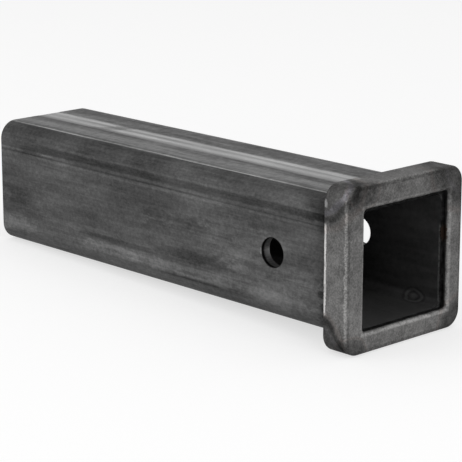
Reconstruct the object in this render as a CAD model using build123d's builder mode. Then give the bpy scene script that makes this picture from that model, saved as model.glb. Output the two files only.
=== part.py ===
import os

from build123d import *

# A weld-on receiver tube for a towing hitch, in raw steel.
#
# A length of welded square tube takes the square shank of a ball mount or a rack. A square collar
# stiffens the mouth, and two beads of weld hold it: one in the corner behind it, and one in front,
# laid on the end of the tube and ground flush with the collar. A hitch pin goes crosswise through
# both side walls.
#
# Millimetres. The origin is where the axis of the hitch pin crosses the axis of the tube.
# +X points out of the mouth, the pin lies along Y, and +Z is the side with the tube's welded seam.

# Square tube
tube_size = 76.2
tube_wall = 5.9
tube_corner = 11.0
tube_length = 304.8
end_break = 0.4  # deburred edges of the sawn rear end, and of the bore at the mouth

# Seam of the tube, planed after welding into a shallow strip along the top
seam_width = 16.8
seam_depth = 0.15
seam_offset = 0.7  # from the middle of the top, towards +Y

# Hitch pin holes, punched through both side walls
pin_hole = 16.3
pin_to_face = 63.5
hole_rollover = 0.6  # rounded lip where the punch drew the wall in

# Collar, a loose fit that was welded on a little high
collar_thickness = 6.4
collar_width = 17.5
collar_corner = 9.7
collar_edge = 1.6
collar_clearance = 1.7
collar_rise = 1.3
collar_overhang = 2.8  # from the end of the tube to the face of the collar

# Weld on the end of the tube, inside the collar, laid thicker on the -Y side
mouth_rim = 1.3  # bare strip of the tube's end, between the bore and the weld
mouth_shift = 1.3  # of the weld's opening, towards +Y
mouth_corner = 2.0  # of the weld's opening, squarer than the bore
mouth_nose = 2.4  # rounded inner edge of the ground weld

# Fillet weld behind the collar
rear_leg = 5.0
rear_crown = 0.7  # how far the bead bulges out past a flat fillet

# Places and sizes that follow
tube_front = pin_to_face - collar_overhang
tube_rear = tube_front - tube_length
tube_side = tube_size / 2
bore_size = tube_size - 2 * tube_wall
bore_corner = tube_corner - tube_wall
collar_back = pin_to_face - collar_width
collar_bore = tube_size + 2 * collar_clearance
collar_bore_corner = tube_corner + collar_clearance
collar_size = collar_bore + 2 * collar_thickness
weld_opening = bore_size + 2 * mouth_rim

# Receiver tube: the square section, its deburred ends, the pin holes and the planed seam
with BuildPart() as receiver_tube:
    with BuildSketch(Plane.YZ.offset(tube_rear)):
        RectangleRounded(tube_size, tube_size, tube_corner)
        RectangleRounded(bore_size, bore_size, bore_corner, mode=Mode.SUBTRACT)
    extrude(amount=tube_length)
    sawn_end = receiver_tube.faces().sort_by(Axis.X)[0]
    mouth_end = receiver_tube.faces().sort_by(Axis.X)[-1]
    chamfer(sawn_end.edges() + mouth_end.inner_wires().edges(), end_break)

    with BuildSketch(Plane.XZ):
        Circle(pin_hole / 2)
    extrude(amount=tube_size, both=True, mode=Mode.SUBTRACT)
    hole_edges = receiver_tube.edges(Select.LAST).filter_by(GeomType.CIRCLE).group_by(Axis.Y)
    fillet(hole_edges[0] + hole_edges[-1], hole_rollover)

    with BuildSketch(Plane.YZ.offset(tube_rear)):
        with Locations((seam_offset, tube_side)):
            Rectangle(seam_width, 2 * seam_depth)
    extrude(amount=tube_length, mode=Mode.SUBTRACT)

# Collar: a square ring that slides over the tube and stands past its end
with BuildPart() as collar:
    with BuildSketch(Plane.YZ.offset(collar_back)):
        with Locations((0, collar_rise)):
            RectangleRounded(collar_size, collar_size, collar_corner)
            RectangleRounded(collar_bore, collar_bore, collar_bore_corner, mode=Mode.SUBTRACT)
    extrude(amount=collar_width)
    back = collar.faces().sort_by(Axis.X)[0]
    face = collar.faces().sort_by(Axis.X)[-1]
    fillet(back.outer_wire().edges() + face.outer_wire().edges(), collar_edge)

# Mouth weld: fills the step between the tube's end and the collar's face
with BuildPart() as mouth_weld:
    with BuildSketch(Plane.YZ.offset(tube_front)):
        with Locations((0, collar_rise)):
            RectangleRounded(collar_bore, collar_bore, collar_bore_corner)
        with Locations((mouth_shift, 0)):
            RectangleRounded(weld_opening, weld_opening, mouth_corner, mode=Mode.SUBTRACT)
    extrude(amount=collar_overhang)
    ground_face = mouth_weld.faces().sort_by(Axis.X)[-1]
    fillet(ground_face.inner_wires().edges(), mouth_nose)

# Rear weld: a crowned fillet swept round the tube, half at a time
heel = Vector(collar_back, tube_side)
toe_on_tube = heel - Vector(rear_leg, 0)
toe_on_collar = heel + Vector(0, rear_leg)
crown = (toe_on_tube + toe_on_collar) / 2 + Vector(-1, 1).normalized() * rear_crown
with BuildPart() as rear_weld:
    with BuildLine(Plane.YZ.offset(collar_back)):
        FilletPolyline(
            (0, tube_side), (tube_side, tube_side), (tube_side, -tube_side), (0, -tube_side),
            radius=tube_corner,
        )
    with BuildSketch(Plane.XZ):
        with BuildLine():
            Polyline(toe_on_tube, heel, toe_on_collar)
            ThreePointArc(toe_on_collar, crown, toe_on_tube)
        make_face()
    sweep()
    mirror(about=Plane.XZ)

# Labels, and one file for each piece
receiver_tube.part.label = "receiver_tube"
collar.part.label = "collar"
mouth_weld.part.label = "mouth_weld"
rear_weld.part.label = "rear_weld"

os.makedirs("parts", exist_ok=True)
export_step(receiver_tube.part, "parts/receiver_tube.step")
export_step(collar.part, "parts/collar.step")
export_step(mouth_weld.part, "parts/mouth_weld.step")
export_step(rear_weld.part, "parts/rear_weld.step")
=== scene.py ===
# Looks of a weld-on receiver tube in raw steel: mill scale on the tube with a bright planed seam,
# a fine-grained collar with heat tint at its corners, a ground weld at the mouth and a rippled
# bead behind the collar. Lengths are in millimetres, and mm turns them into Blender's metres.

import math

import bmesh
import bpy
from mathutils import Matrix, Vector


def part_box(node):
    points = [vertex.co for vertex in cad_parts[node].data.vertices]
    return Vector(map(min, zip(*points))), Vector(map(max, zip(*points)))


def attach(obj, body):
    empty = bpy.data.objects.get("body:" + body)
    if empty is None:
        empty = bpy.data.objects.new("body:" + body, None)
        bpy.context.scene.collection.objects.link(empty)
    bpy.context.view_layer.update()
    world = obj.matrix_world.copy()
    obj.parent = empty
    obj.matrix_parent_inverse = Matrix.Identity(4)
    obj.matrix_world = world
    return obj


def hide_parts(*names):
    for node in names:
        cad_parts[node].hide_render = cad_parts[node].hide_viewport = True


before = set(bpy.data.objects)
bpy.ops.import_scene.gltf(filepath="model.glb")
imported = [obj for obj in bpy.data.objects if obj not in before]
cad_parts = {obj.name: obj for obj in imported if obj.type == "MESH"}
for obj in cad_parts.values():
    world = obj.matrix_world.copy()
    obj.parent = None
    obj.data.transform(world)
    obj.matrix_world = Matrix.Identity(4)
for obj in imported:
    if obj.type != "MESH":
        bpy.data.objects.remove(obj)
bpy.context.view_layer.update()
mm = 0.001

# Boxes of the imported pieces, which the looks are tied to
tubeLow, tubeHigh = (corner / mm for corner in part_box("receiver_tube"))
collarLow, collarHigh = (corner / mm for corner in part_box("collar"))
lipLow, lipHigh = (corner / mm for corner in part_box("mouth_weld"))
beadLow, beadHigh = (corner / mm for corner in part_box("rear_weld"))

tubeSide = tubeHigh.y
tubeCorner = 11.0  # radius outside
tubeWall = 5.9
tubeFlat = tubeSide - tubeCorner  # from the middle to where a corner starts
collarRise = (collarHigh.z + collarLow.z) / 2
faceX = collarHigh.x
print("frame loaded, tube", round(tubeLow.x, 1), "to", round(tubeHigh.x, 1), "and face at", round(faceX, 1))


# Camera, from the photograph's perspective, in metres
camera = {
    "place": (0.75009, -0.78101, 0.28185),
    "aim": (-0.08081, 0.00729, -0.01071),
    "lens": 155.226,
}


def aimAt(thing, place, aim):
    thing.location = place
    thing.rotation_euler = (Vector(aim) - Vector(place)).to_track_quat("-Z", "Y").to_euler()


def makeCamera():
    data = bpy.data.cameras.new("photoCamera")
    data.lens = camera["lens"]
    data.clip_end = 50.0
    eye = bpy.data.objects.new("photoCamera", data)
    bpy.context.scene.collection.objects.link(eye)
    aimAt(eye, camera["place"], camera["aim"])
    bpy.context.scene.camera = eye


# Soft studio lamps, in metres and watts
lamps = {
    "overhead": {"place": (-0.25, 0.15, 1.70), "aim": (-0.09, 0.0, 0.0), "size": 1.8, "power": 3.0},
    "left": {"place": (-0.75, -1.60, 0.75), "aim": (-0.09, 0.0, 0.0), "size": 1.2, "power": 9.0},
    "right": {"place": (1.90, -0.25, 0.65), "aim": (0.0, 0.0, 0.0), "size": 1.2, "power": 12.0},
}


def makeLamps():
    for name, lamp in lamps.items():
        data = bpy.data.lights.new(name, "AREA")
        data.shape = "SQUARE"
        data.size = lamp["size"]
        data.energy = lamp["power"]
        lampObject = bpy.data.objects.new(name, data)
        bpy.context.scene.collection.objects.link(lampObject)
        aimAt(lampObject, lamp["place"], lamp["aim"])


# Node helpers: each adds to the tree and gives back an output. A value is a number or an output
def addNode(tree, kind, **settings):
    node = tree.nodes.new(kind)
    for name, value in settings.items():
        setattr(node, name, value)
    return node


def feed(tree, socket, value):
    if isinstance(value, bpy.types.NodeSocket):
        tree.links.new(value, socket)
    else:
        socket.default_value = value


def calc(tree, operation, *values):
    node = addNode(tree, "ShaderNodeMath", operation=operation)
    for socket, value in zip(node.inputs, values):
        feed(tree, socket, value)
    return node.outputs[0]


def addUp(tree, *values):
    total = values[0]
    for value in values[1:]:
        total = calc(tree, "ADD", total, value)
    return total


def multiply(tree, *values):
    total = values[0]
    for value in values[1:]:
        total = calc(tree, "MULTIPLY", total, value)
    return total


def ease(tree, value, low, high, start=0.0, end=1.0):  # start below low, end above high
    node = addNode(tree, "ShaderNodeMapRange", interpolation_type="SMOOTHSTEP")
    settings = {"Value": value, "From Min": low, "From Max": high, "To Min": start, "To Max": end}
    for name, setting in settings.items():
        feed(tree, node.inputs[name], setting)
    return node.outputs["Result"]


def stripe(tree, value, middle, half, soft):  # 1 within half of the middle, 0 past half + soft
    away = calc(tree, "ABSOLUTE", calc(tree, "SUBTRACT", value, middle))
    return ease(tree, away, half, half + soft, 1.0, 0.0)


def stretched(tree, vector, scale, shift=(0.0, 0.0, 0.0)):
    node = addNode(tree, "ShaderNodeMapping")
    feed(tree, node.inputs["Vector"], vector)
    node.inputs["Scale"].default_value = scale
    node.inputs["Location"].default_value = shift
    return node.outputs["Vector"]


def cloud(tree, vector, size, detail=3.0, rough=0.55):  # -1 to 1, in clouds of that size
    node = addNode(tree, "ShaderNodeTexNoise")
    feed(tree, node.inputs["Vector"], vector)
    node.inputs["Scale"].default_value = 1.0 / size
    node.inputs["Detail"].default_value = detail
    node.inputs["Roughness"].default_value = rough
    return ease(tree, node.outputs["Fac"], 0.25, 0.75, -1.0, 1.0)


def mixTone(tree, amount, first, second):
    node = addNode(tree, "ShaderNodeMix", data_type="FLOAT")
    for socket, value in zip((node.inputs[0], node.inputs[2], node.inputs[3]), (amount, first, second)):
        feed(tree, socket, value)
    return node.outputs[0]


def mixColour(tree, amount, first, second, blend="MIX"):
    node = addNode(tree, "ShaderNodeMix", data_type="RGBA", blend_type=blend)
    for socket, value in zip((node.inputs[0], node.inputs[6], node.inputs[7]), (amount, first, second)):
        feed(tree, socket, value)
    return node.outputs[2]


def awayFrom(tree, place, middle, radii):  # 0 at the middle, 1 where the radii end
    vector = place
    for operation, setting in (("SUBTRACT", middle), ("DIVIDE", radii)):
        node = addNode(tree, "ShaderNodeVectorMath", operation=operation)
        feed(tree, node.inputs[0], vector)
        node.inputs[1].default_value = setting
        vector = node.outputs[0]
    length = addNode(tree, "ShaderNodeVectorMath", operation="LENGTH")
    feed(tree, length.inputs[0], vector)
    return length.outputs["Value"]


def shade(level, warmth=0.0):  # a grey on the screen's own scale from 0 to 1, warmer above 0
    return (level * (1 + warmth), level, level * (1 - warmth), 1.0)


def addUpVector(tree, place, value, amount):  # the place moved by a cloud, so that a shape isn't exact
    node = addNode(tree, "ShaderNodeVectorMath", operation="ADD")
    feed(tree, node.inputs[0], place)
    feed(tree, node.inputs[1], multiply(tree, value, amount))
    return node.outputs[0]


rustStain = {
    "middle": (61.0, 34.0, 9.8),
    "radii": (1.8, 2.6, 4.8),
    "colour": (0.165, 0.128, 0.106, 1.0),
    "cover": 0.85,
}


def rust(tree, colour, place):  # one small stain on the far side of the mouth, across the tube and the weld
    look = rustStain
    away = awayFrom(tree, place, look["middle"], look["radii"])
    away = addUp(tree, away, multiply(tree, cloud(tree, place, 2.0, 3.0), 0.35))
    cover = multiply(tree, ease(tree, away, 1.15, 0.6), look["cover"])
    return mixColour(tree, cover, colour, look["colour"])


def startMaterial(name):
    material = bpy.data.materials.new(name)
    material.use_nodes = True
    tree = material.node_tree
    tree.nodes.clear()
    scale = addNode(tree, "ShaderNodeVectorMath", operation="SCALE")
    tree.links.new(addNode(tree, "ShaderNodeTexCoord").outputs["Object"], scale.inputs[0])
    scale.inputs["Scale"].default_value = 1.0 / mm
    place = scale.outputs[0]
    axes = addNode(tree, "ShaderNodeSeparateXYZ")
    tree.links.new(place, axes.inputs[0])
    return material, tree, place, axes.outputs[0], axes.outputs[1], axes.outputs[2]


def endMaterial(tree, colour, metallic, roughness, relief):  # colour on the screen's scale, relief in mm
    shader = addNode(tree, "ShaderNodeBsdfPrincipled")
    gamma = addNode(tree, "ShaderNodeGamma")
    feed(tree, gamma.inputs["Color"], colour)
    gamma.inputs["Gamma"].default_value = 2.2
    tree.links.new(gamma.outputs[0], shader.inputs["Base Color"])
    feed(tree, shader.inputs["Metallic"], metallic)
    feed(tree, shader.inputs["Roughness"], roughness)
    shader.inputs["Specular Tint"].default_value = (0.35, 0.35, 0.35, 1.0)
    shader.inputs["Specular IOR Level"].default_value = 0.25
    bump = addNode(tree, "ShaderNodeBump")
    bump.inputs["Strength"].default_value = 1.0
    bump.inputs["Distance"].default_value = mm
    feed(tree, bump.inputs["Height"], relief)
    tree.links.new(bump.outputs[0], shader.inputs["Normal"])
    output = addNode(tree, "ShaderNodeOutputMaterial")
    tree.links.new(shader.outputs[0], output.inputs["Surface"])


# Sums that the materials share
def mottled(tree, clouds, amounts):
    return addUp(tree, *[multiply(tree, clouds[name], amount) for name, amount in amounts.items()])


def addBands(tree, value, rows):  # each row: middle, half width, softness and the grey that it adds
    return addUp(tree, *[multiply(tree, stripe(tree, value, *row[:3]), row[3]) for row in rows.values()])


def stripeFrom(tree, value, start, row):  # row: middle counted from start, half width, softness
    return stripe(tree, value, start + row[0], row[1], row[2])


# Where a surface is bright it turns more metallic and smoother: rubbed and planed metal, and painted
# highlights too
brightFinish = {
    "metallic": 0.95,
    "roughness": 0.36,
}

# Mill scale of the tube: greys on the screen's scale, places in mm
tubeSteel = {
    "side": 0.330,
    "upperCornerShade": (27.5, 31.0, 0.0, -0.045),  # painted shade where the side turns into the upper corner: from and to on Z, and the grey added at each
    "nearSide": (-30.0, -33.0),  # on Y, where the marks start and where they are full
    "darkerByCollar": -0.095,  # added behind the collar, over the reach below
    "darkerByCollarReach": (16, 2),
    "darkerByCollarFray": {"frayed": 2.0, "blotches": 2.5},
    "top": 0.380,
    "topLift": (75.0, 80.0),  # degrees round the corner, from the side to the top
    "rubbed": 0.270,  # a painted highlight in a line where each upper corner meets the top
    "cornerHighlightLift": (80.5, 1.4, 4.5),
    "cornerHighlightBroken": (-0.6, 0.5, 0.6, 1.1),
    "inside": 0.272,
    "insideDepthShade": (-20.0, 62.0, -0.040, 0.050),  # painted shade deep in and painted light near the mouth: from and to on X, and the grey added at each
    "insideFloorLight": (-26.0, -31.5, 0.0, 0.055),  # the same on Z: painted light on the floor of the bore, which is paler
    "brokenMarks": (-0.9, 0.4, 0.55, 1.0),
    "brokenBySpeckle": 0.6,
    "metallic": 0.65,
    "roughness": 0.46,
    "roughnessSmears": 0.05,
    "bright": (0.42, 0.62),  # greys between which the steel turns bright
    "relief": {"grain": 0.016, "smears": 0.012},
}
# Clouds on the tube: stretch along the axes, shift, size, detail and roughness
tubeClouds = {
    "blotches": ((0.55, 1, 1), (0, 0, 0), 22.0, 4.0, 0.55),
    "smears": ((0.12, 1, 1), (7, 3, 5), 4.5, 4.0, 0.6),
    "lines": ((0.02, 1, 1), (11, 2, 9), 1.3, 3.0, 0.7),
    "grain": ((0.6, 1, 1), (0, 0, 0), 1.1, 3.0, 0.7),
    "speckle": ((1, 1, 1), (0, 0, 0), 2.6, 4.0, 0.7),
    "frayed": ((0.45, 1, 1), (0, 0, 0), 3.5, 4.0, 0.65),
    "dabs": ((0.45, 0.35, 1), (5, 1, 2), 2.0, 3.0, 0.6),
    "planed": ((0.01, 1, 1), (3, 8, 1), 0.7, 2.0, 0.6),
    "sawLines": ((1, 0.03, 1), (0, 0, 0), 0.6, 2.0, 0.6),
    "torn": ((1, 0.15, 1), (0, 0, 0), 1.2, 3.0, 0.7),
}
# How much each cloud adds to the greys
tubeMottle = {
    "skin": {"blotches": 0.042, "smears": 0.030, "lines": 0.022, "speckle": 0.026, "grain": 0.028},
    "top": {"lines": 0.045, "smears": 0.035, "dabs": 0.050},
    "seam": {"planed": 0.035, "smears": 0.035, "grain": 0.030},
    "inside": {"smears": 0.020, "blotches": 0.028, "speckle": 0.020},
}
# Bands along the top beside the seam, by their distance from its middle
topBands = {
    "pale": (-21.2, 2.0, 6.0, 0.115),
    "faint": (-15.5, 3.0, 4.0, 0.020),
    "dark": (-10.8, 0.6, 1.8, -0.035),
    "outer": (-27.3, 0.6, 1.2, -0.020),
}
# The planed seam on the top, with a dull stretch that runs across it aslant
planedSeam = {
    "grey": 0.79,
    "middle": 0.7,
    "half": 8.0,
    "soft": 1.5,
    "wander": 0.3,
    "darkLine": {"line": (1.8, 0.8, 2.2, -0.095)},
    "nearShade": -0.250,
    "nearShadeFrom": (-2.5, -9.0),
    "farShade": -0.140,
    "farShadeFrom": (6.0, 9.0),
    "dull": -0.170,
    "dullAlong": (-178.5, 3.0, 7.0),
    "dullSlant": -0.8,
    "dullFray": 4.0,
    "dullAcross": (-6.0, 1.0, 0.55, 1.0),
    "relief": 0.010,
}
# A ring left by a drop on the low far corner inside
dropRing = {
    "middle": (42.5, 31.3, -29.6),
    "radii": (7.6, 5.3, 4.7),
    "fray": 0.3,
    "rings": {
        "outer": (1.0, 0.03, 0.14, -0.045),
        "pale": (0.74, 0.05, 0.14, 0.060),
        "inner": (0.48, 0.03, 0.14, -0.055),
    },
    "heart": 0.050,
    "heartWithin": (0.34, 0.16),
}
# The sawn rear end
sawnEnd = {
    "grey": 0.46,
    "within": (0.5, 0.2),  # from the end of the tube
    "lines": 0.06,
    "relief": 0.02,
}
# The walls of the pin holes, with painted shade towards the outer skin and on their drawn-in lip, and a
# painted highlight on a chip beside the near one
pinHole = {
    "grey": 0.44,
    "within": (8.5, 8.25),  # from the pin's axis
    "wallStart": (32.0, 32.4),  # from the middle of the tube
    "shadeNearSkin": (36.2, 37.4, 0.0, -0.24),
    "nearBore": (35.0, 32.6, 0.0, 0.06),
    "torn": 0.04,
    "lip": -0.20,
    "lipAt": (8.4, 0.15, 0.35),
    "chipHighlight": 0.10,
    "chipMiddle": (-9.0, -38.0, -0.5),
    "chipRadii": (1.0, 1.5, 2.6),
    "chipWithin": (1.0, 0.5),
}
# The end of the tube in the mouth, painted dark as the shade of its recess behind the weld, and a painted
# highlight in a thin line on its inner edge
mouthEnd = {
    "grey": 0.08,
    "speckle": 0.08,
    "within": (-0.55, -0.40),  # from the end of the tube
    "corner": 0.09,  # how much paler it is within the square of the bore
    "cornerSoft": 0.4,
    "line": 0.20,
    "lineX": (-1.1, 0.45, 0.4),
    "lineY": (31.6, 32.0),
    "lineZ": (-7.0, 20.0, 3.0),
    "lineBroken": (-0.8, 0.2, 0.5, 1.0),
}
# Marks on the side towards -Y: bands of x and z, how softly each ends, how far the ends fray, and
# the grey that the mark adds
sideMarks = {
    "dark streak": {"x": (-195, -105), "z": (24.8, 27.6), "soft": (25, 1.4), "fray": 0.3, "grey": -0.070},
    "dark streak on": {"x": (-60, 50), "z": (24.6, 27.8), "soft": (30, 1.4), "fray": 0.4, "grey": -0.065},
    "faint streak": {"x": (-250, 60), "z": (24.8, 27.4), "soft": (10, 1.6), "fray": 0.3, "grey": -0.030},
    "fine dark line": {"x": (-250, 20), "z": (21.4, 21.8), "soft": (30, 0.5), "fray": 0.0, "grey": -0.060},
    "light line": {"x": (-250, 0), "z": (19.6, 20.3), "soft": (40, 0.9), "fray": 0.1, "grey": 0.035},
    "rear dash": {"x": (-244, -222), "z": (22.9, 23.3), "soft": (3, 0.4), "fray": 0.0, "grey": 0.070},
    "second dash": {"x": (-201, -193), "z": (22.9, 23.3), "soft": (4, 0.5), "fray": 0.0, "grey": 0.080},
    "smudge between": {"x": (-221, -208), "z": (20.0, 24.0), "soft": (5, 3), "fray": 1.2, "grey": -0.045},
    "rubbed patch": {"x": (-159, -114), "z": (-27.2, -22.3), "soft": (7, 1.6), "fray": 0.8, "grey": 0.095},
    "rubbed patch end": {"x": (-97, -45), "z": (-26.8, -22.8), "soft": (17, 2.2), "fray": 1.2, "grey": 0.080},
    "rear rubbed patch": {"x": (-243, -214), "z": (-28.0, -22.5),
        "soft": (9, 3.0), "fray": 2.0, "grey": 0.060},
    "dark edge above": {"x": (-158, -104), "z": (-19.4, -18.2),
        "soft": (10, 1.6), "fray": 0.5, "grey": -0.070},
    "dark smear": {"x": (-85, -42), "z": (-16.5, -13.5), "soft": (14, 3.0), "fray": 1.5, "grey": -0.065},
    "low dark line": {"x": (-84, -46), "z": (-29.2, -28.8), "soft": (5, 0.7), "fray": 0.1, "grey": -0.080},
    "rear shadow": {"x": (-236, -224), "z": (-12.0, -4.0), "soft": (9, 6.0), "fray": 2.0, "grey": -0.050},
    "middle shadow": {"x": (-101, -94), "z": (-1.0, 4.0), "soft": (10, 6.0), "fray": 2.5, "grey": -0.065},
    "second shadow": {"x": (-66, -58), "z": (2.0, 6.0), "soft": (8, 4.0), "fray": 2.0, "grey": -0.050},
    "below the hole": {"x": (-30, 28), "z": (-22.0, -10.0), "soft": (16, 7.0), "fray": 3.0, "grey": 0.050},
    "beside the hole": {"x": (-45, -14), "z": (-4.0, 8.0), "soft": (12, 8.0), "fray": 3.0, "grey": 0.040},
    "above the hole": {"x": (-20, 12), "z": (15.0, 19.0), "soft": (25, 4.0), "fray": 2.0, "grey": -0.030},
    "bottom sheen": {"x": (-20, 30), "z": (-30.0, -25.0), "soft": (14, 3.0), "fray": 2.0, "grey": 0.045},
    "dark corner low": {"x": (43, 50), "z": (-38, -14), "soft": (10, 10), "fray": 0.2, "grey": -0.090},
    "dark corner high": {"x": (34, 48), "z": (20, 32), "soft": (12, 6), "fray": 0.6, "grey": -0.065},
}


def mark(tree, x, z, frayed, broken, facts):
    fray = facts["fray"]
    along = addUp(tree, x, multiply(tree, frayed, 3.0 + 3.0 * fray))  # ends along the tube fray most
    across = addUp(tree, z, multiply(tree, frayed, fray))
    bands = []
    for value, name, soft in ((along, "x", facts["soft"][0]), (across, "z", facts["soft"][1])):
        low, high = facts[name]
        bands.append(stripe(tree, value, (low + high) / 2, (high - low) / 2, soft))
    return multiply(tree, bands[0], bands[1], broken, facts["grey"])


def makeTubeSteel():
    look = tubeSteel
    material, tree, place, x, y, z = startMaterial("tubeSteel")
    offY = calc(tree, "ABSOLUTE", y)
    offZ = calc(tree, "ABSOLUTE", z)
    besideY = calc(tree, "MAXIMUM", calc(tree, "SUBTRACT", offY, tubeFlat), 0.0)
    aboveZ = calc(tree, "MAXIMUM", calc(tree, "SUBTRACT", offZ, tubeFlat), 0.0)
    reach = calc(tree, "SQRT", addUp(tree, multiply(tree, besideY, besideY), multiply(tree, aboveZ, aboveZ)))
    outside = ease(tree, reach, tubeCorner - 3.0, tubeCorner - 1.0)  # 1 on the skin, 0 in the bore
    lift = multiply(tree, calc(tree, "ARCTAN2", aboveZ, besideY), 180 / math.pi)
    upper = ease(tree, z, -1.0, 1.0)
    clouds = {}
    for name, (stretch, shift, size, detail, rough) in tubeClouds.items():
        clouds[name] = cloud(tree, stretched(tree, place, stretch, shift), size, detail, rough)
    frayed = clouds["frayed"]
    smears = clouds["smears"]
    speckle = clouds["speckle"]

    # Marks on the near side, frayed at their ends and broken up
    breaks = addUp(tree, smears, multiply(tree, speckle, look["brokenBySpeckle"]))
    broken = ease(tree, breaks, *look["brokenMarks"])
    marks = [mark(tree, x, z, frayed, broken, facts) for facts in sideMarks.values()]
    near = ease(tree, y, *look["nearSide"])
    # The side's grey: its marks, and painted shade where it turns into the upper corner
    sideGrey = addUp(
        tree, look["side"], multiply(tree, addUp(tree, *marks), near), ease(tree, z, *look["upperCornerShade"]),
    )

    # Darker on the sides and below, next to the collar
    fromWeld = addUp(tree, x, mottled(tree, clouds, look["darkerByCollarFray"]))
    far, close = look["darkerByCollarReach"]
    darkerByCollar = ease(tree, fromWeld, collarLow.x - far, collarLow.x - close)
    sideGrey = addUp(tree, sideGrey, multiply(tree, darkerByCollar, look["darkerByCollar"]))

    # The top: paler, with bands beside the seam, and a painted highlight in a line where each corner starts
    seamWander = multiply(tree, clouds["lines"], planedSeam["wander"])
    seamPlace = addUp(tree, y, seamWander, -planedSeam["middle"])
    topGrey = addUp(tree, look["top"], addBands(tree, seamPlace, topBands))
    top = multiply(tree, ease(tree, lift, *look["topLift"]), upper)
    # Painted highlight along the line where each upper corner meets the top
    rubbed = multiply(tree, stripe(tree, lift, *look["cornerHighlightLift"]), upper)
    rubbed = multiply(tree, rubbed, ease(tree, clouds["lines"], *look["cornerHighlightBroken"]), look["rubbed"])
    skinGrey = addUp(tree, mixTone(tree, top, sideGrey, topGrey), rubbed)
    topMottle = multiply(tree, mottled(tree, clouds, tubeMottle["top"]), top)
    skinGrey = addUp(tree, skinGrey, mottled(tree, clouds, tubeMottle["skin"]), topMottle)

    # The planed seam, dull for a short stretch towards the rear
    look = planedSeam
    seam = multiply(tree, stripe(tree, seamPlace, 0.0, look["half"], look["soft"]), top)
    dullPlace = addUp(
        tree, x, multiply(tree, frayed, look["dullFray"]), multiply(tree, seamPlace, look["dullSlant"]),
    )
    dullSide = ease(tree, seamPlace, *look["dullAcross"])
    seamGrey = addUp(
        tree, look["grey"], addBands(tree, seamPlace, look["darkLine"]),
        multiply(tree, ease(tree, seamPlace, *look["nearShadeFrom"]), look["nearShade"]),
        multiply(tree, ease(tree, seamPlace, *look["farShadeFrom"]), look["farShade"]),
        multiply(tree, stripe(tree, dullPlace, *look["dullAlong"]), dullSide, look["dull"]),
        mottled(tree, clouds, tubeMottle["seam"]),
    )
    skinGrey = mixTone(tree, seam, skinGrey, seamGrey)

    # Inside: painted shade deep in, painted light towards the mouth and on the floor, with the ring that the
    # drop left
    look = dropRing
    drop = awayFrom(tree, addUpVector(tree, place, frayed, look["fray"]), look["middle"], look["radii"])
    rings = addUp(
        tree, addBands(tree, drop, look["rings"]),
        multiply(tree, ease(tree, drop, *look["heartWithin"]), look["heart"]),
    )
    innerGrey = addUp(
        tree, tubeSteel["inside"], ease(tree, x, *tubeSteel["insideDepthShade"]), rings,
        ease(tree, z, *tubeSteel["insideFloorLight"]), mottled(tree, clouds, tubeMottle["inside"]),
    )
    grey = mixTone(tree, outside, innerGrey, skinGrey)

    look = sawnEnd
    far, close = look["within"]
    sawn = ease(tree, x, tubeLow.x + far, tubeLow.x + close)
    sawnGrey = addUp(tree, look["grey"], multiply(tree, clouds["sawLines"], look["lines"]))
    grey = mixTone(tree, sawn, grey, sawnGrey)

    look = pinHole
    fromPin = calc(tree, "SQRT", addUp(tree, multiply(tree, x, x), multiply(tree, z, z)))
    inHole = multiply(tree, ease(tree, fromPin, *look["within"]), ease(tree, offY, *look["wallStart"]))
    # The wall's grey, with painted shade towards the outer skin
    wallGrey = addUp(
        tree, look["grey"], ease(tree, offY, *look["shadeNearSkin"]), ease(tree, offY, *look["nearBore"]),
        multiply(tree, clouds["torn"], look["torn"]),
    )
    grey = mixTone(tree, inHole, grey, wallGrey)
    # Painted shade on the drawn-in lip, and a painted highlight on the chip beside the near hole
    drawnInShade = multiply(tree, stripe(tree, fromPin, *look["lipAt"]), outside)
    chipHighlight = awayFrom(tree, place, look["chipMiddle"], look["chipRadii"])
    grey = addUp(
        tree, grey, multiply(tree, drawnInShade, look["lip"]),
        multiply(tree, ease(tree, chipHighlight, *look["chipWithin"]), look["chipHighlight"]),
    )

    look = mouthEnd
    # Painted highlight in a thin line on the bore's inner edge, just inside the tube's end
    innerEdgeHighlight = multiply(
        tree, stripeFrom(tree, x, tubeHigh.x, look["lineX"]), stripe(tree, z, *look["lineZ"]),
        ease(tree, y, *look["lineY"]), ease(tree, speckle, *look["lineBroken"]),
        calc(tree, "SUBTRACT", 1.0, outside),
    )
    grey = addUp(tree, grey, multiply(tree, innerEdgeHighlight, look["line"]))
    # The tube's end in the mouth: painted shade of its recess, a little paler within the square of the bore
    boreHalf = tubeSide - tubeWall
    inCorner = ease(
        tree, calc(tree, "MAXIMUM", offY, offZ),
        boreHalf + look["cornerSoft"], boreHalf - look["cornerSoft"], 0.0, look["corner"],
    )
    far, close = look["within"]
    rim = ease(tree, x, tubeHigh.x + far, tubeHigh.x + close)
    rimShadeGrey = addUp(tree, look["grey"], inCorner, multiply(tree, speckle, look["speckle"]))
    grey = mixTone(tree, rim, grey, rimShadeGrey)

    look = tubeSteel
    colour = mixColour(tree, 1.0, shade(1.0), grey, "MULTIPLY")
    colour = rust(tree, colour, place)
    bright = ease(tree, grey, *look["bright"])
    metallic = mixTone(tree, bright, look["metallic"], brightFinish["metallic"])
    roughness = addUp(
        tree, mixTone(tree, bright, look["roughness"], brightFinish["roughness"]),
        multiply(tree, smears, look["roughnessSmears"]),
    )
    relief = addUp(
        tree, mottled(tree, clouds, look["relief"]),
        multiply(tree, clouds["planed"], seam, planedSeam["relief"]),
        multiply(tree, clouds["sawLines"], sawn, sawnEnd["relief"]),
    )
    endMaterial(tree, colour, metallic, roughness, relief)
    return material


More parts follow.
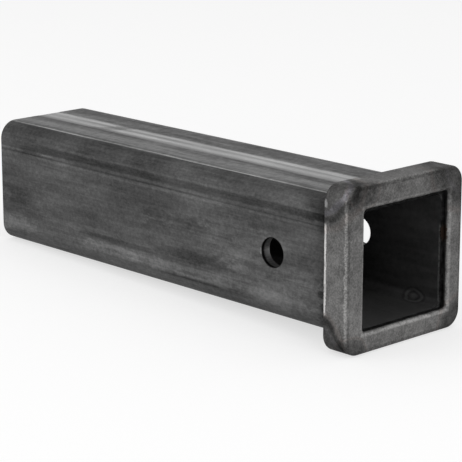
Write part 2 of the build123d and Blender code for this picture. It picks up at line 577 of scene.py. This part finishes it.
# Steel of the collar and of the weld ground flush with it: one finish, so that it runs across both
collarSteel = {
    "grey": 0.400,
    "warmth": 0.006,
    "mottle": {"blotches": 0.040, "patches": 0.038, "grain": 0.070},
    "metallic": 0.70,
    "roughness": 0.50,
    "roughnessPatches": 0.05,
    "bright": (0.48, 0.66),
    "relief": {"grain": 0.030, "patches": 0.030},
}
# Clouds on the collar: size, detail and roughness
collarClouds = {
    "blotches": (16.0, 4.0, 0.55),
    "patches": (4.5, 4.0, 0.65),
    "grain": (1.15, 3.0, 0.75),
    "wander": (9.0, 3.0, 0.55),
}
# Edges rubbed bright, with a painted highlight on them: the back edge of the two sides, and less the front
# edge all round; and a painted highlight along the back edge of the top on the near side
collarEdgeWearAndHighlight = {
    "within": (1.2, 0.2),  # from the outline
    "sideways": (0.0, 3.0),
    "wavy": 0.5,
    "back": 0.38,
    "backX": (1.5, 0.6, 0.7),  # from the back of the collar
    "backZ": (0.5, 23.0, 3.5),
    "backFray": 2.0,
    "backBroken": (-0.8, 0.0, 0.75, 1.0),
    "front": 0.11,
    "frontX": (-1.0, 0.4, 0.8),  # from the face
    "frontAbove": (0.0, 1.0, 0.35, 1.0),
    "frontBroken": (-0.5, 0.5, 0.6, 1.2),
    "topBackHighlight": 0.15,
    "topBackHighlightX": (2.5, 1.5, 2.5),
    "topBackHighlightY": (-18.0, -26.0),
    "topBackHighlightZ": (1.0, 0.3),
    "topBackHighlightBroken": (-0.8, 0.2, 0.5, 1.1),
}
# The face: paler low down and towards -Y, with a line of painted shade just inside its edge, past the rounded
# edge
collarFace = {
    "within": (0.7, 0.3),
    "lower": (-44.0, 46.0, 0.030, -0.025),
    "nearer": (-42.0, -20.0, 0.025, 0.0),
    "edgeShadeLine": -0.085,
    "edgeShadeLineIn": (1.6, 0.5, 0.7),
    "edgeShadeLineBroken": (-0.6, 0.2),
}
# The lip of the ground weld: a painted highlight along its crest, strongest low down, and painted shade down
# its inner wall
groundLip = {
    "crestHighlight": 0.070,
    "crestAt": (1.5, 0.4, 1.0),
    "crestWavy": 0.3,
    "crestLow": (-28.0, -33.0, 1.0, 1.8),  # from and to on Z, and how strong it is at each
    "crestBroken": (-0.7, 0.3, 0.7, 1.1),
    "wall": 0.46,
    "wallDepth": (0.9, 2.2),
    "wallWithin": (3.0, 1.5),
}
# A bright blot high on the near back edge
brightBlot = {
    "middle": (47.5, -46.0, 37.2),
    "radii": (2.2, 3.0, 2.4),
    "fray": 0.3,
    "within": (1.1, 0.6),
    "grey": 0.58,
    "cover": 0.8,
}
# Heat tint left where the weld started and stopped. Each spot has a thin dark band where its radii
# end, a bluish sheen inside that, and a darker middle; outside the band it fades over its own width.
# A middle below 0 is brighter instead: a painted highlight on the corner
heatSpots = {
    "near top": {
        "middle": (44, -46, 50), "radii": (22, 17.5, 22),
        "inner": 0.30, "band": 0.13, "sheen": 0.13, "fade": 0.30,
    },
    "near top in front": {
        "middle": (66, -33, 44), "radii": (8, 8, 6.5),
        "inner": 0.27, "band": 0.02, "sheen": 0.00, "fade": 0.70,
    },
    # a painted highlight on the rounded corner of the face
    "corner highlight": {
        "middle": (64, -43.5, 44.5), "radii": (4.0, 3.5, 3.5),
        "inner": -0.22, "band": 0.00, "sheen": 0.00, "fade": 0.80,
    },
    "far top": {
        "middle": (60, 46, 48), "radii": (18.5, 18.5, 18.5),
        "inner": 0.28, "band": 0.05, "sheen": 0.05, "fade": 0.60,
    },
    "near bottom": {
        "middle": (46, -46, -50), "radii": (14.5, 16, 23.2),
        "inner": 0.32, "band": 0.16, "sheen": 0.05, "fade": 0.18,
    },
    "near bottom in front": {
        "middle": (66, -42, -45), "radii": (9, 9, 8),
        "inner": 0.28, "band": 0.00, "sheen": 0.00, "fade": 0.60,
    },
    "far bottom": {
        "middle": (62, 47, -46), "radii": (13, 13, 13),
        "inner": 0.38, "band": 0.03, "sheen": 0.00, "fade": 0.75,
    },
}
# Places and colours of the tint, which all spots share: a place is 0 at the middle, 1 where radii end
heatShape = {
    "wander": 0.05,
    "patches": 0.05,
    "full": 0.94,
    "band": (0.99, 0.03, 0.09),
    "sheen": (0.80, 0.03, 0.09),
    "sheenCover": 4,
    "sheenColour": (0.97, 0.96, 1.03, 1.0),
    "brown": (0.7, 0.03, 0.10),  # its middle is counted from 1, in widths of the fading
    "brownCover": 0.7,
    "brownColour": (1.02, 0.99, 0.98, 1.0),
}


def heatTint(tree, colour, place, wander, patches, spot):
    look = heatShape
    away = awayFrom(tree, place, spot["middle"], spot["radii"])
    away = addUp(tree, away, multiply(tree, wander, look["wander"]))
    inside = ease(tree, away, look["full"], 1.0 + spot["fade"], 1.0, 0.0)
    sheen = stripe(tree, away, *look["sheen"])
    tone = addUp(
        tree, 1.0, multiply(tree, inside, -spot["inner"]),
        multiply(tree, stripe(tree, away, *look["band"]), -spot["band"]),
        multiply(tree, sheen, spot["sheen"]), multiply(tree, inside, patches, look["patches"]),
    )
    colour = mixColour(tree, 1.0, colour, tone, "MULTIPLY")
    sheenCover = multiply(tree, sheen, spot["sheen"] * look["sheenCover"])
    colour = mixColour(tree, sheenCover, colour, look["sheenColour"], "MULTIPLY")
    brownAt, half, soft = look["brown"]
    browned = stripe(tree, away, 1.0 + spot["fade"] * brownAt, half, soft)
    brownCover = multiply(tree, browned, look["brownCover"])
    return mixColour(tree, brownCover, colour, look["brownColour"], "MULTIPLY")


def makeCollarSteel(name):
    material, tree, place, x, y, z = startMaterial(name)
    clouds = {key: cloud(tree, place, *facts) for key, facts in collarClouds.items()}
    patches = clouds["patches"]
    grain = clouds["grain"]
    grey = addUp(tree, collarSteel["grey"], mottled(tree, clouds, collarSteel["mottle"]))

    look = collarEdgeWearAndHighlight
    offY = calc(tree, "ABSOLUTE", y)
    rise = calc(tree, "SUBTRACT", z, collarRise)
    offZ = calc(tree, "ABSOLUTE", rise)
    offMost = calc(tree, "MAXIMUM", offY, offZ)
    far, close = look["within"]
    outer = ease(tree, offMost, collarHigh.y - far, collarHigh.y - close)
    sideways = ease(tree, calc(tree, "SUBTRACT", offY, offZ), *look["sideways"])
    wavy = addUp(tree, x, multiply(tree, patches, look["wavy"]))
    backHeight = addUp(tree, rise, multiply(tree, patches, look["backFray"]))
    # Rubbed edges with a painted highlight on them, at the back and the front
    backEdgeWearAndHighlight = multiply(
        tree, stripeFrom(tree, wavy, collarLow.x, look["backX"]), outer, sideways,
        stripe(tree, backHeight, *look["backZ"]), ease(tree, patches, *look["backBroken"]), look["back"],
    )
    frontEdgeWearAndHighlight = multiply(
        tree, stripeFrom(tree, wavy, collarHigh.x, look["frontX"]), outer,
        ease(tree, sideways, *look["frontAbove"]), ease(tree, grain, *look["frontBroken"]), look["front"],
    )
    # A painted highlight along the back edge of the top, on the near side
    far, close = look["topBackHighlightZ"]
    topBackHighlight = multiply(
        tree, stripeFrom(tree, wavy, collarLow.x, look["topBackHighlightX"]),
        ease(tree, z, collarHigh.z - far, collarHigh.z - close), ease(tree, y, *look["topBackHighlightY"]),
        ease(tree, patches, *look["topBackHighlightBroken"]), look["topBackHighlight"],
    )
    grey = addUp(tree, grey, backEdgeWearAndHighlight, frontEdgeWearAndHighlight, topBackHighlight)

    look = collarFace
    far, close = look["within"]
    onFace = ease(tree, x, faceX - far, faceX - close)
    inFromEdge = calc(tree, "SUBTRACT", collarHigh.y, offMost)
    # Painted shade in a line just inside the face's edge
    edgeShadeLine = multiply(
        tree, stripe(tree, inFromEdge, *look["edgeShadeLineIn"]), onFace,
        ease(tree, patches, *look["edgeShadeLineBroken"]), look["edgeShadeLine"],
    )
    paler = addUp(tree, ease(tree, z, *look["lower"]), ease(tree, y, *look["nearer"]))
    grey = addUp(tree, grey, edgeShadeLine, multiply(tree, paler, onFace))

    look = groundLip
    fromShift = calc(tree, "ABSOLUTE", addUp(tree, y, -mouthWeld["openingShift"]))
    fromRise = calc(tree, "ABSOLUTE", addUp(tree, z, -mouthWeld["openingRise"]))
    fromOpening = addUp(tree, calc(tree, "MAXIMUM", fromShift, fromRise), -mouthWeld["opening"] / 2)
    crestPlace = addUp(tree, fromOpening, multiply(tree, patches, look["crestWavy"]))
    # Painted highlight along the crest of the lip
    crestHighlight = multiply(
        tree, stripe(tree, crestPlace, *look["crestAt"]), ease(tree, z, *look["crestLow"]),
        ease(tree, patches, *look["crestBroken"]), look["crestHighlight"],
    )
    # Painted shade down the weld's inner wall
    far, close = look["wallDepth"]
    wall = multiply(
        tree, ease(tree, x, faceX - far, faceX - close), ease(tree, fromOpening, *look["wallWithin"]),
    )
    grey = multiply(tree, addUp(tree, grey, crestHighlight), ease(tree, wall, 0.0, 1.0, 1.0, look["wall"]))

    colour = mixColour(tree, 1.0, shade(1.0, collarSteel["warmth"]), grey, "MULTIPLY")
    for spot in heatSpots.values():
        colour = heatTint(tree, colour, place, clouds["wander"], patches, spot)
    look = brightBlot
    blot = awayFrom(tree, place, look["middle"], look["radii"])
    blot = addUp(tree, blot, multiply(tree, patches, look["fray"]))
    blotted = multiply(tree, ease(tree, blot, *look["within"]), look["cover"])
    colour = mixColour(tree, blotted, colour, shade(look["grey"]))
    colour = rust(tree, colour, place)

    look = collarSteel
    bright = ease(tree, grey, *look["bright"])
    metallic = mixTone(tree, bright, look["metallic"], brightFinish["metallic"])
    roughness = addUp(
        tree, mixTone(tree, bright, look["roughness"], brightFinish["roughness"]),
        multiply(tree, patches, look["roughnessPatches"]),
    )
    endMaterial(tree, colour, metallic, roughness, mottled(tree, clouds, look["relief"]))
    return material


# Modelling helpers: everything is deselected before a primitive, and chosen again by place
straightRun = 20.0  # an edge longer than this is a straight side
closeBy = 0.1  # a point this near an outline is on it


def startModelling():
    if bpy.context.mode != "OBJECT":
        bpy.ops.object.mode_set(mode="OBJECT")
    bpy.ops.object.select_all(action="DESELECT")


def addPlate(name, size, x, z):  # a square plate that faces +X
    startModelling()
    bpy.ops.mesh.primitive_plane_add(
        size=size * mm, location=(x * mm, 0, z * mm), rotation=(0, math.pi / 2, 0),
    )
    piece = bpy.context.active_object
    piece.name = name
    bpy.ops.object.transform_apply(location=True, rotation=True, scale=True)
    bpy.ops.object.mode_set(mode="EDIT")
    return piece


def choose(piece, kind, test):  # selects the verts, edges or faces that pass the test, and no others
    shape = bmesh.from_edit_mesh(piece.data)
    bpy.ops.mesh.select_all(action="DESELECT")
    bpy.context.tool_settings.mesh_select_mode = (kind == "verts", kind == "edges", kind == "faces")
    for item in getattr(shape, kind):
        if test(item):
            item.select_set(True)
    shape.select_flush_mode()
    bmesh.update_edit_mesh(piece.data)


def edgeInMm(edge):
    return [vert.co / mm for vert in edge.verts]


def roundedSquare(y, z, half, corner):  # how far a point is outside a rounded square, in mm
    beyondY, beyondZ = abs(y) - (half - corner), abs(z) - (half - corner)
    outer = math.hypot(max(beyondY, 0.0), max(beyondZ, 0.0))
    return outer + min(max(beyondY, beyondZ), 0.0) - corner


# Ground weld in the mouth: a flat ring with a rounded, slightly wavy lip
mouthWeld = {
    "outerCorner": 12.7,
    "opening": 67.0,
    "openingShift": 1.3,  # along Y
    "openingRise": 0.6,
    "openingCorner": 2.0,
    "cornerSteps": 10,
    "straightCuts": 34,
    "nose": 2.4,
    "noseSteps": 6,
    "waviness": 0.9,
    "waveSize": 9.0,
    "smoothAngle": 35,
}


def makeMouthWeld():
    look = mouthWeld
    outerSize = lipHigh.y - lipLow.y
    overhang = lipHigh.x - lipLow.x
    shift, lift = look["openingShift"], look["openingRise"]
    piece = addPlate("mouthWeldGround", outerSize, faceX, collarRise)
    bpy.ops.mesh.select_all(action="SELECT")
    bpy.ops.mesh.bevel(offset=look["outerCorner"] * mm, segments=look["cornerSteps"], affect="VERTICES")

    # The opening is a second outline, and the ring is bridged between the two
    bpy.ops.mesh.select_all(action="DESELECT")
    bpy.ops.mesh.primitive_plane_add(
        size=look["opening"] * mm, location=(faceX * mm, shift * mm, lift * mm), rotation=(0, math.pi / 2, 0),
    )
    bpy.ops.mesh.bevel(offset=look["openingCorner"] * mm, segments=look["cornerSteps"], affect="VERTICES")
    choose(piece, "faces", lambda face: True)
    bpy.ops.mesh.delete(type="ONLY_FACE")
    choose(piece, "edges", lambda edge: True)
    bpy.ops.mesh.bridge_edge_loops()

    # Straight runs are divided, so that the lip can wave
    choose(piece, "edges", lambda edge: edge.calc_length() > straightRun * mm)
    bpy.ops.mesh.subdivide(number_cuts=look["straightCuts"])
    bpy.ops.mesh.select_all(action="SELECT")
    bpy.ops.mesh.extrude_region_move(TRANSFORM_OT_translate={"value": (-overhang * mm, 0, 0)})
    bpy.ops.mesh.select_all(action="SELECT")
    bpy.ops.mesh.normals_make_consistent(inside=False)

    def depthOf(vert):
        return faceX - vert.co.x / mm

    def fromOpening(vert):
        point = vert.co / mm
        return roundedSquare(point.y - shift, point.z - lift, look["opening"] / 2, look["openingCorner"])

    def frontRim(edge):
        return all(abs(fromOpening(vert)) < closeBy and depthOf(vert) < closeBy / 10 for vert in edge.verts)

    choose(piece, "edges", frontRim)
    bpy.ops.mesh.bevel(offset=look["nose"] * mm, segments=look["noseSteps"], affect="EDGES")

    # The lip waves where the grinder stopped, more the deeper it is; the flat face and the back stay true
    def onLip(vert):
        return fromOpening(vert) < look["nose"] and depthOf(vert) < overhang - closeBy

    choose(piece, "verts", onLip)
    bpy.ops.object.mode_set(mode="OBJECT")
    group = piece.vertex_groups.new(name="lip")
    for vert in piece.data.vertices:
        if vert.select:
            group.add([vert.index], min(depthOf(vert) / look["nose"], 1.0), "REPLACE")
    clouds = bpy.data.textures.new("lipWaves", "CLOUDS")
    clouds.noise_scale = look["waveSize"] * mm
    waves = piece.modifiers.new("waves", "DISPLACE")
    waves.texture = clouds
    waves.texture_coords = "LOCAL"
    waves.vertex_group = "lip"
    waves.strength = look["waviness"] * mm
    waves.mid_level = 0.5
    bpy.ops.object.modifier_apply(modifier="waves")
    bpy.ops.object.shade_smooth_by_angle(angle=math.radians(look["smoothAngle"]))
    piece.data.materials.append(makeCollarSteel("groundWeldSteel"))
    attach(piece, "root")
    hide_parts("mouth_weld")
    print("mouth weld", len(piece.data.polygons), "faces")


# Bead in the corner behind the collar: a crowned fillet with ripples, as laid
rearBead = {
    "cornerSteps": 24,
    "straightCuts": 59,
    "rings": 7,
    "crown": 0.7,
    "ripples": (0.0, 0.14, 0.26),  # how far each rib of a ripple stands out, one after another
    "lag": 1.1,  # how far the middle of a ripple trails its ends
    "smoothAngle": 50,
}


def ribAndRing(point, look):  # which rib round the tube, and which ring between the two toes
    y, z, turn = point.y, point.z, 0
    while not (y >= -tubeFlat - 0.01 and z > tubeFlat):
        y, z, turn = -z, y, turn + 1
    if y <= tubeFlat:
        rib = (y + tubeFlat) / (2 * tubeFlat) * (look["straightCuts"] + 1)
    else:
        turned = math.atan2(y - tubeFlat, z - tubeFlat) / (math.pi / 2)
        rib = look["straightCuts"] + 1 + turned * look["cornerSteps"]
    ribsPerSide = look["straightCuts"] + 1 + look["cornerSteps"]
    ring = (beadHigh.x - point.x) / (beadHigh.x - beadLow.x) * (look["rings"] + 1)
    return round(turn * ribsPerSide + rib), round(ring)


def makeRearBead():
    look = rearBead
    leg = beadHigh.x - beadLow.x
    piece = addPlate("rearWeldBead", beadHigh.y - beadLow.y, beadHigh.x, 0.0)
    bpy.ops.mesh.select_all(action="SELECT")
    bpy.ops.mesh.bevel(offset=(tubeCorner + leg) * mm, segments=look["cornerSteps"], affect="VERTICES")
    choose(piece, "faces", lambda face: True)
    bpy.ops.mesh.inset(thickness=leg * mm)
    bpy.ops.mesh.delete(type="FACE")
    choose(piece, "edges", lambda edge: edge.calc_length() > straightRun * mm)
    bpy.ops.mesh.subdivide(number_cuts=look["straightCuts"])

    # The ring on the collar gets a wall along the tube, and a slope that joins their two toes
    def onOutline(edge, half, corner):
        return all(abs(roundedSquare(point.y, point.z, half, corner)) < closeBy for point in edgeInMm(edge))

    def onTube(edge):
        return onOutline(edge, tubeSide, tubeCorner)

    choose(piece, "edges", onTube)
    bpy.ops.mesh.extrude_region_move(TRANSFORM_OT_translate={"value": (-leg * mm, 0, 0)})

    def isToe(edge):
        atTubeToe = onTube(edge) and all(point.x < beadLow.x + closeBy for point in edgeInMm(edge))
        return atTubeToe or onOutline(edge, tubeSide + leg, tubeCorner + leg)

    choose(piece, "edges", isToe)
    bpy.ops.mesh.bridge_edge_loops(number_cuts=look["rings"], interpolation="LINEAR")
    bpy.ops.mesh.select_all(action="SELECT")
    bpy.ops.mesh.normals_make_consistent(inside=False)

    # Each ring is pushed out to the crown, then each rib to its place in a ripple
    sloping = {}
    shape = bmesh.from_edit_mesh(piece.data)
    for vert in shape.verts:
        point = vert.co / mm
        rib, ring = ribAndRing(point, look)
        onWall = roundedSquare(point.y, point.z, tubeSide, tubeCorner) < closeBy
        if 0 < ring <= look["rings"] and not onWall:
            sloping[vert.index] = (rib, ring)
    middle = (look["rings"] + 1) / 2

    def rise(ring):  # 0 at the toes, 1 half way
        return 1 - ((ring - middle) / middle) ** 2

    for ring in range(1, look["rings"] + 1):
        choose(piece, "verts", lambda vert: sloping.get(vert.index, (0, 0))[1] == ring)
        bpy.ops.transform.shrink_fatten(value=look["crown"] * rise(ring) * mm)
    for step, height in enumerate(look["ripples"]):
        def inStep(vert):
            if vert.index not in sloping:
                return False
            rib, ring = sloping[vert.index]
            return (rib - round(look["lag"] * rise(ring))) % len(look["ripples"]) == step

        choose(piece, "verts", inStep)
        bpy.ops.transform.shrink_fatten(value=height * mm)

    # Sharp toes and heel hold their places while the ripples are smoothed
    def isHeel(edge):
        return onTube(edge) and edgeInMm(edge)[0].x > beadHigh.x - closeBy

    choose(piece, "edges", lambda edge: isToe(edge) or isHeel(edge))
    bpy.ops.transform.edge_crease(value=1.0)
    bpy.ops.object.mode_set(mode="OBJECT")
    smooth = piece.modifiers.new("smooth", "SUBSURF")
    smooth.levels = smooth.render_levels = 1
    bpy.ops.object.modifier_apply(modifier="smooth")
    bpy.ops.object.shade_smooth_by_angle(angle=math.radians(look["smoothAngle"]))
    piece.data.materials.append(makeBeadSteel())
    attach(piece, "root")
    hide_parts("rear_weld")
    print("rear bead", len(piece.data.polygons), "faces")


beadSteel = {
    "grey": 0.36,
    "metallic": 0.85,
    "roughness": 0.38,
    "patchSize": 7.0,
    "grainSize": 0.7,
    "mottle": {"patches": 0.05, "grain": 0.025},
    "roughnessPatches": 0.06,
    "scorch": (0.0, 0.9, 0.0, 0.6),
    "scorchColour": (0.96, 0.97, 1.08, 1.0),
    "warmth": 0.02,
    "relief": 0.02,
}


def makeBeadSteel():
    look = beadSteel
    material, tree, place = startMaterial("rawWeldSteel")[:3]
    patches = cloud(tree, place, look["patchSize"], 4.0)
    grain = cloud(tree, place, look["grainSize"], 2.0)
    grey = addUp(tree, look["grey"], mottled(tree, {"patches": patches, "grain": grain}, look["mottle"]))
    scorched = ease(tree, patches, *look["scorch"])
    tint = mixColour(tree, scorched, shade(1.0, look["warmth"]), look["scorchColour"])
    colour = mixColour(tree, 1.0, tint, grey, "MULTIPLY")
    roughness = addUp(tree, look["roughness"], multiply(tree, patches, look["roughnessPatches"]))
    endMaterial(tree, colour, look["metallic"], roughness, multiply(tree, grain, look["relief"]))
    return material


# Pale floor, tilted a little so that the collar and the tube's rear end both stand on it
floor = {
    "size": 12.0,
    "colour": (0.82, 0.82, 0.82, 1.0),
    "shownColour": (0.45, 0.45, 0.45, 1.0),
    "glow": 0.62,
    "clearance": 0.0002,
    "standsIn": 1.6,  # mm from the back of the collar to where it touches the floor
}
world = {
    "shown": 1.0,
    "light": 0.55,
}


def showsWhite(tree):  # 1 for rays from the camera and for reflections, 0 for light on matt surfaces
    path = addNode(tree, "ShaderNodeLightPath")
    rays = [path.outputs[name] for name in ("Is Camera Ray", "Is Glossy Ray", "Is Transmission Ray")]
    return calc(tree, "MINIMUM", addUp(tree, *rays), 1.0)


def makeFloor():
    look = floor
    standsAt = Vector((collarLow.x + look["standsIn"], 0, collarLow.z)) * mm
    rearEnd = Vector((tubeLow.x, 0, tubeLow.z)) * mm
    run = standsAt - rearEnd
    slope = math.atan2(-run.z, run.x)
    startModelling()
    place = (standsAt + rearEnd) / 2 - Vector((0, 0, look["clearance"]))
    bpy.ops.mesh.primitive_plane_add(size=look["size"], location=place, rotation=(0, slope, 0))
    ground = bpy.context.active_object
    ground.name = "floor"
    material = bpy.data.materials.new("paleFloor")
    material.use_nodes = True
    tree = material.node_tree
    tree.nodes.clear()
    matt = addNode(tree, "ShaderNodeBsdfDiffuse")
    matt.inputs["Color"].default_value = look["colour"]
    shown = addNode(tree, "ShaderNodeBsdfDiffuse")
    shown.inputs["Color"].default_value = look["shownColour"]
    glow = addNode(tree, "ShaderNodeEmission")
    glow.inputs["Strength"].default_value = look["glow"]
    lit = addNode(tree, "ShaderNodeAddShader")
    tree.links.new(shown.outputs[0], lit.inputs[0])
    tree.links.new(glow.outputs[0], lit.inputs[1])
    either = addNode(tree, "ShaderNodeMixShader")
    feed(tree, either.inputs[0], showsWhite(tree))
    tree.links.new(matt.outputs[0], either.inputs[1])
    tree.links.new(lit.outputs[0], either.inputs[2])
    output = addNode(tree, "ShaderNodeOutputMaterial")
    tree.links.new(either.outputs[0], output.inputs["Surface"])
    ground.data.materials.append(material)


def makeWorld():
    studio = bpy.data.worlds.new("studio")
    studio.use_nodes = True
    tree = studio.node_tree
    tree.nodes.clear()
    backgrounds = []
    for strength in (world["light"], world["shown"]):
        background = addNode(tree, "ShaderNodeBackground")
        background.inputs["Color"].default_value = (1, 1, 1, 1)
        background.inputs["Strength"].default_value = strength
        backgrounds.append(background)
    either = addNode(tree, "ShaderNodeMixShader")
    feed(tree, either.inputs[0], showsWhite(tree))
    tree.links.new(backgrounds[0].outputs[0], either.inputs[1])
    tree.links.new(backgrounds[1].outputs[0], either.inputs[2])
    output = addNode(tree, "ShaderNodeOutputWorld")
    tree.links.new(either.outputs[0], output.inputs["Surface"])
    bpy.context.scene.world = studio


def dress(node, material):
    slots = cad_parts[node].data.materials
    slots.clear()
    slots.append(material)


bpy.context.scene.view_settings.view_transform = "Standard"
makeCamera()
makeLamps()
makeWorld()
makeFloor()
print("camera, lamps and floor made")
dress("receiver_tube", makeTubeSteel())
dress("collar", makeCollarSteel("collarSteel"))
print("tube and collar dressed")
makeMouthWeld()
makeRearBead()
